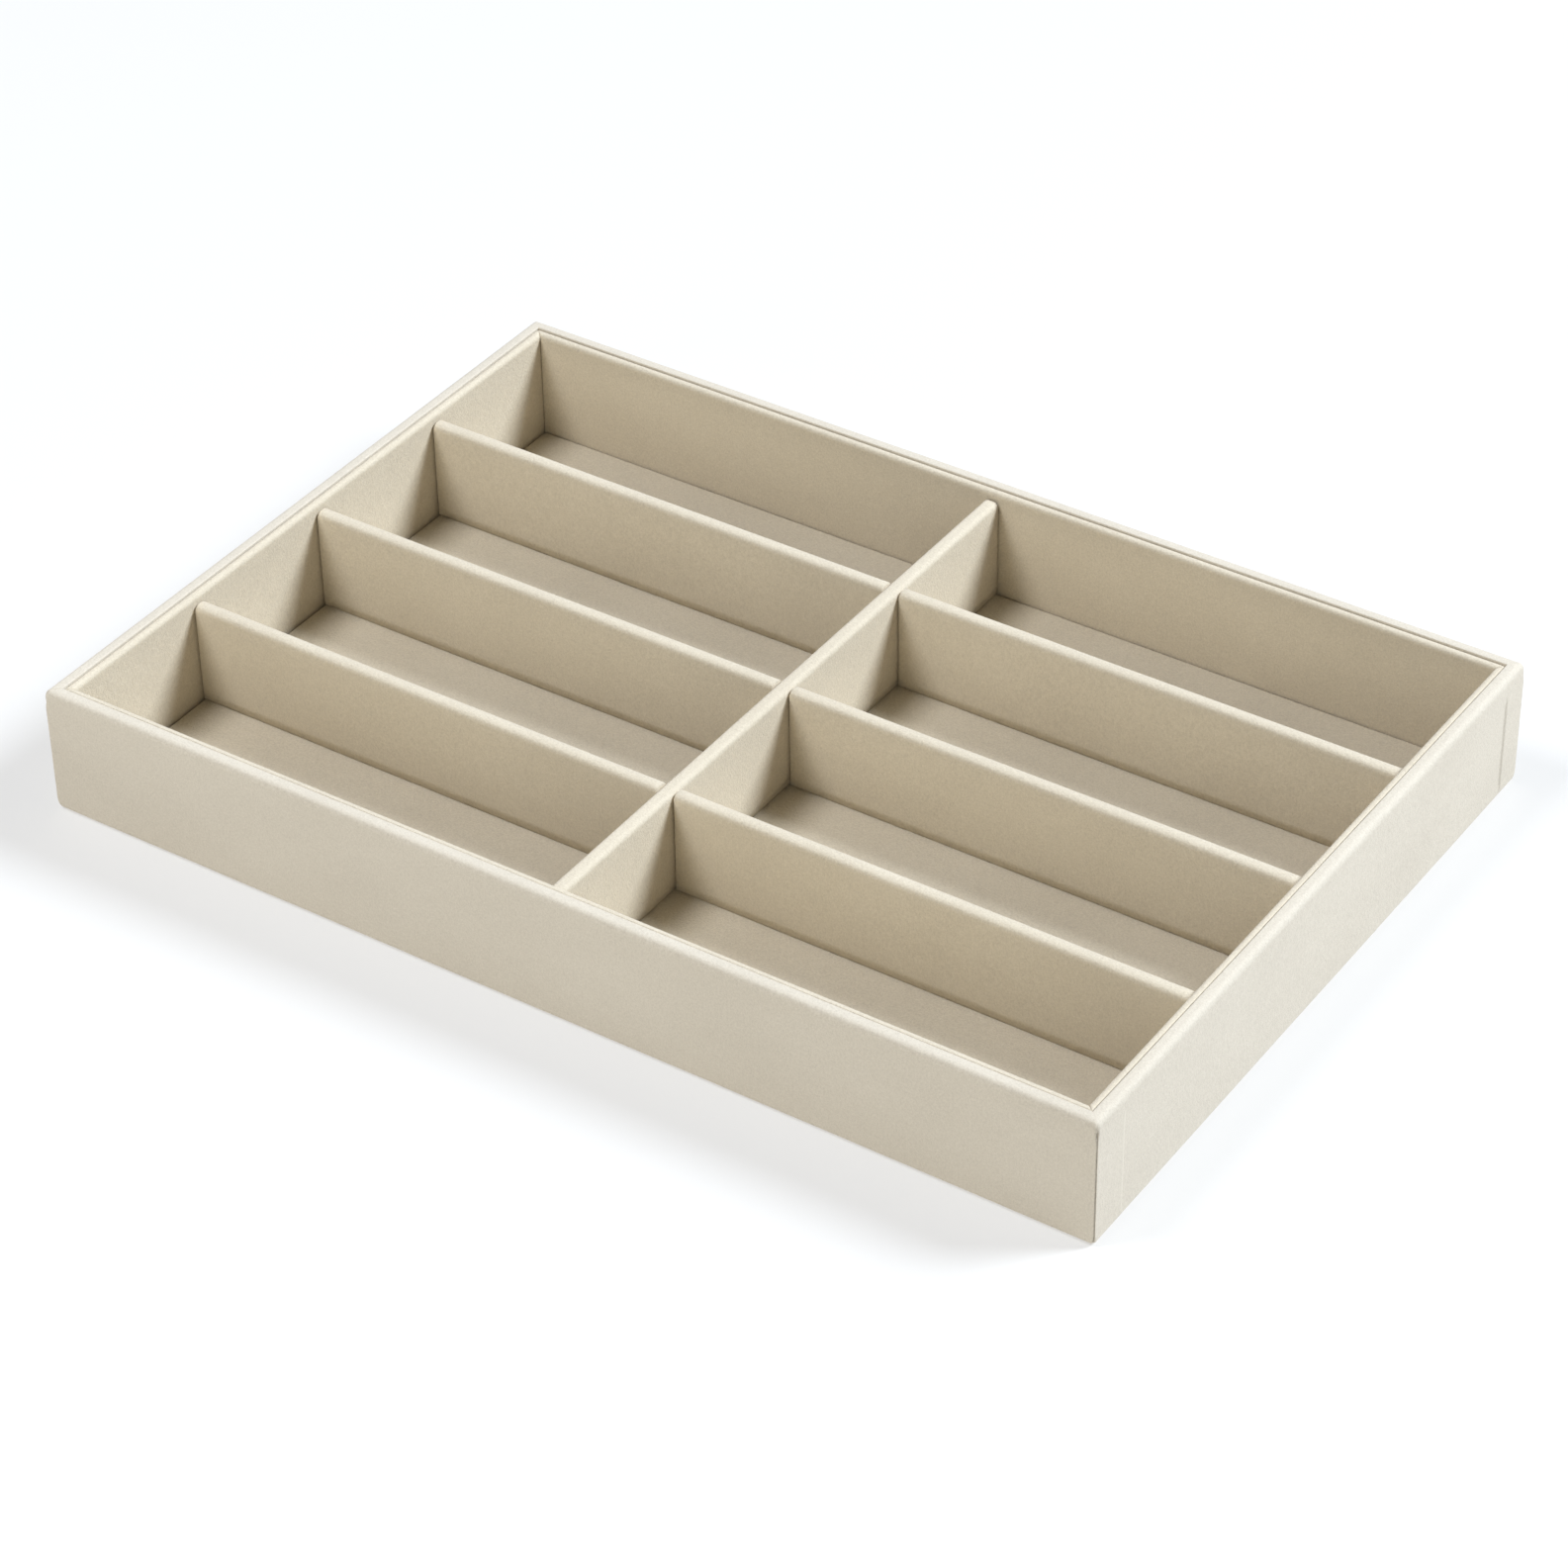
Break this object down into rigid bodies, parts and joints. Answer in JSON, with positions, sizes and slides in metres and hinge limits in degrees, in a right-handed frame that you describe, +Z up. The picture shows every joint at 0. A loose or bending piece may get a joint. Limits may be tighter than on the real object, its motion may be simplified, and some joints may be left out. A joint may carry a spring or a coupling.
{
  "type": "glasses organizer tray",
  "caption": "Lidless fabric-covered display tray with a lift-out grid of dividers that makes a compartment for each pair of glasses.",
  "frame": {"origin": "centre of the underside, on the surface that the tray stands on", "axes": "+X along the length to the right, +Y to the back, +Z up, out of the open top"},
  "size_m": [0.35, 0.24, 0.042],
  "materials": {
    "outer_suede": "matte beige micro-suede with a fine mottled nap",
    "inner_suede": "matte beige micro-suede with a fine mottled nap",
    "greyboard": "raw dense greyboard (pressed paper pulp), matte",
    "underside_lining": "flat matte non-woven lining"
  },
  "bodies": {
    "tray": {"base_board": "greyboard", "underside_lining": "underside_lining", "front_wall_board": "greyboard", "back_wall_board": "greyboard", "left_wall_board": "greyboard", "right_wall_board": "greyboard", "front_cover": "outer_suede", "back_cover": "outer_suede", "left_cover": "outer_suede", "right_cover": "outer_suede", "front_liner_board": "greyboard", "back_liner_board": "greyboard", "left_liner_board": "greyboard", "right_liner_board": "greyboard", "front_liner_cover": "inner_suede", "back_liner_cover": "inner_suede", "left_liner_cover": "inner_suede", "right_liner_cover": "inner_suede", "floor_board": "greyboard", "floor_cover": "inner_suede"},
    "divider_grid": {"spine_board": "greyboard", "spine_cover": "inner_suede", "left_divider_board_1": "greyboard", "left_divider_cover_1": "inner_suede", "left_divider_board_2": "greyboard", "left_divider_cover_2": "inner_suede", "left_divider_board_3": "greyboard", "left_divider_cover_3": "inner_suede", "right_divider_board_1": "greyboard", "right_divider_cover_1": "inner_suede", "right_divider_board_2": "greyboard", "right_divider_cover_2": "inner_suede", "right_divider_board_3": "greyboard", "right_divider_cover_3": "inner_suede"}
  },
  "joints": [
    {"name": "divider_grid_lift", "type": "slide", "parent": "tray", "child": "divider_grid", "axis": [0, 0, 1], "range_m": [0, 0.045]}
  ]
}
